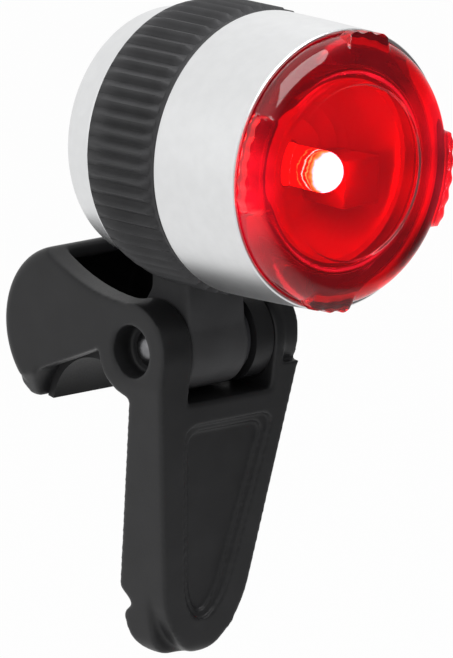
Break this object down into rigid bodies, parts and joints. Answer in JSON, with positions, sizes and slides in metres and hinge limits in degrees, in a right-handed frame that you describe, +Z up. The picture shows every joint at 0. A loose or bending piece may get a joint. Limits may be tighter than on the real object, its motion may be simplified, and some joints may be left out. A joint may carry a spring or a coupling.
{
  "type": "bike rear light",
  "caption": "Round bike rear light with a clear red twist lens and a ribbed collar, tilting on a hooked bracket that sits on a tube.",
  "frame": {"origin": "middle of the axis of the tube that the bracket sits on", "axes": "+X along the tube and the hinge pin, to the side of the narrow right ear; -Y the way the lamp shines; +Z up, from the tube to the lamp"},
  "size_m": [0.0338, 0.0492, 0.0781],
  "materials": {
    "black_plastic": "fine matte grain",
    "collar_plastic": "matte",
    "pad_rubber": "matte",
    "pin_steel": "satin",
    "spring_steel": "satin",
    "washer_plastic": "matte",
    "satin_aluminium": "bead-blasted",
    "lens_red": "clear, polished",
    "bright_metal": "mirror-like",
    "led_clear": "clear, lit",
    "block_dark": "satin",
    "board": "lacquered",
    "cell_steel": "satin",
    "contact_brass": "satin"
  },
  "bodies": {
    "bracket": {"bracket": "black_plastic", "jaw_pad": "pad_rubber", "hinge_pin": "pin_steel", "pin_retainer": "pin_steel", "friction_ring": "black_plastic", "friction_spring": "spring_steel", "friction_washer": "washer_plastic"},
    "lamp": {"collar": "collar_plastic", "front_barrel": "satin_aluminium", "led_board": "board", "board_screws": "spring_steel", "switch_pads": "contact_brass", "reflector": "bright_metal", "led": "led_clear", "square_block": "block_dark", "battery_holder": "washer_plastic", "front_cell": "cell_steel", "rear_cell": "cell_steel", "plus_contact": "contact_brass"},
    "lens": {"lens": "lens_red", "front_seal": "pad_rubber", "switch_wiper": "contact_brass"},
    "cap": {"rear_cap": "satin_aluminium", "rear_seal": "pad_rubber", "contact_disc": "contact_brass", "contact_spring": "spring_steel"}
  },
  "joints": [
    {"name": "lamp_tilt", "type": "hinge", "parent": "bracket", "child": "lamp", "pos_m": [0, -0.0098, 0.0103], "axis": [1, 0, 0], "range_deg": [-15, 25]},
    {"name": "lens_twist", "type": "hinge", "parent": "lamp", "child": "lens", "pos_m": [0, -0.0332, 0.034], "axis": [0, -1, 0], "range_deg": [0, 40]},
    {"name": "cap_turn", "type": "hinge", "parent": "lamp", "child": "cap", "pos_m": [0, -0.0098, 0.034], "axis": [0, 1, 0], "range_deg": [0, 45]}
  ]
}
